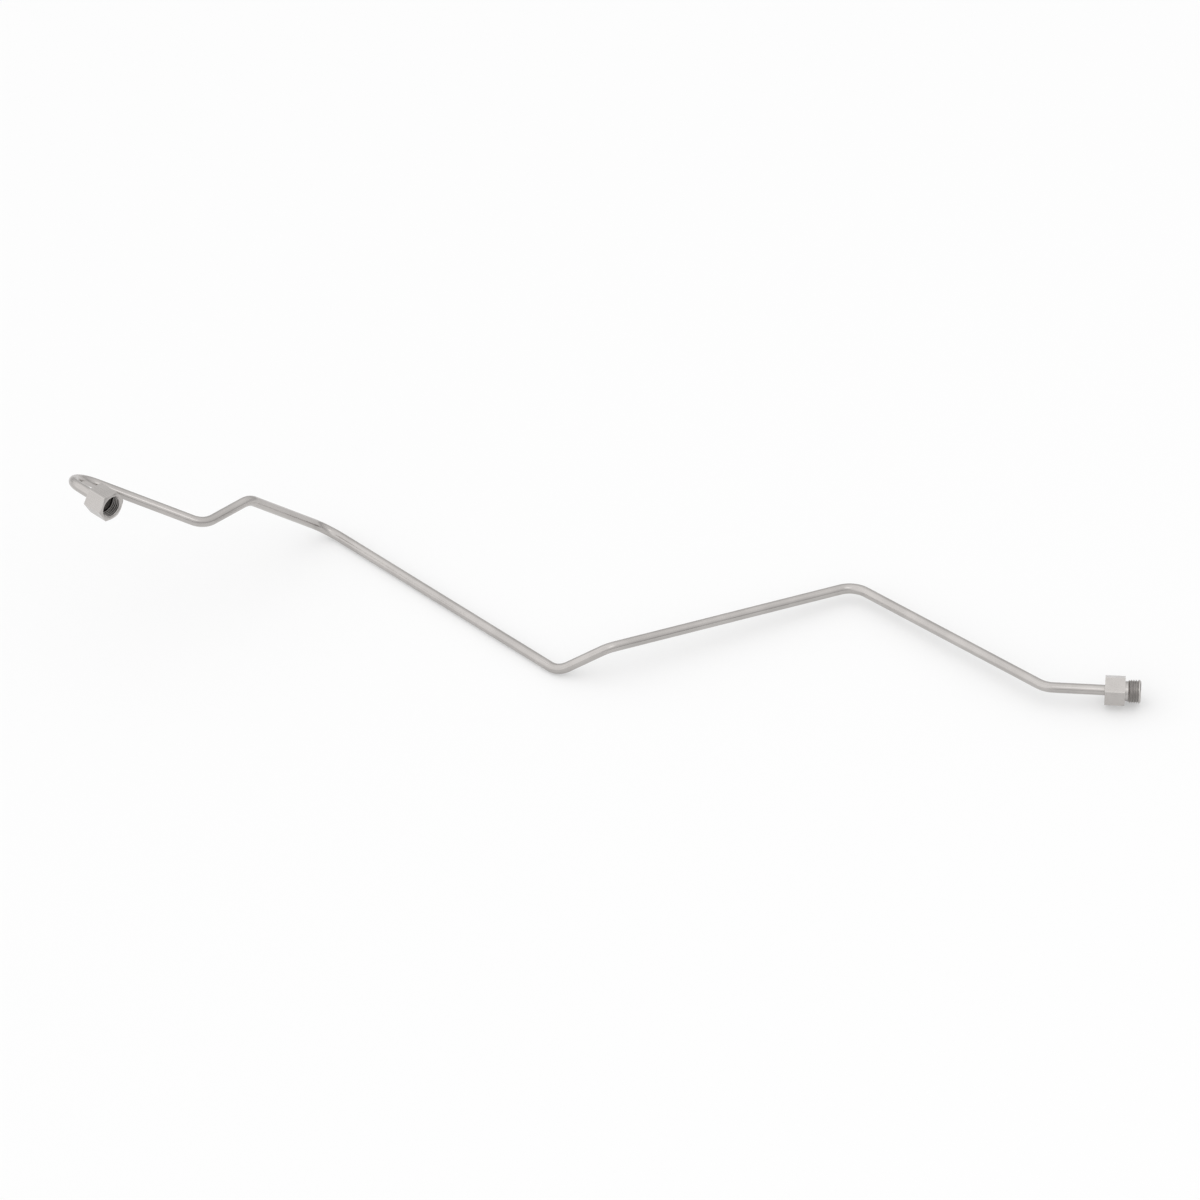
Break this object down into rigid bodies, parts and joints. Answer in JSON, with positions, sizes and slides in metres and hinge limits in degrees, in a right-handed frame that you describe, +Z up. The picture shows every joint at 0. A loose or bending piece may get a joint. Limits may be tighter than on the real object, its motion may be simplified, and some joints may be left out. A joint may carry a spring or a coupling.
{
  "type": "bent tube assembly",
  "caption": "Slender steel hydraulic tube bent in several planes, ending in a captive hex swivel nut and a male threaded hex connector.",
  "frame": {"origin": "on the floor, under the middle of the outline seen from above, with the tube lying as it comes to rest", "axes": "+X along the base run toward the connector end, +Y toward the connector side, +Z up"},
  "size_m": [0.5508, 0.3875, 0.1149],
  "materials": {
    "tube_steel": "drawn steel with a bright plated surface",
    "sleeve_steel": "turned steel, faced flat for the seal",
    "nut_steel": "machined bar with a satin plated surface",
    "connector_steel": "machined bar with a satin plated surface"
  },
  "bodies": {
    "line": {"tube": "tube_steel", "sleeve": "sleeve_steel", "connector": "connector_steel"},
    "swivel_nut": {"nut": "nut_steel"}
  },
  "joints": [
    {"name": "nut_swivel", "type": "hinge", "parent": "line", "child": "swivel_nut", "pos_m": [-0.23606, -0.18388, 0.1061], "axis": [1, 0.0076, -0.0017], "continuous": true}
  ]
}
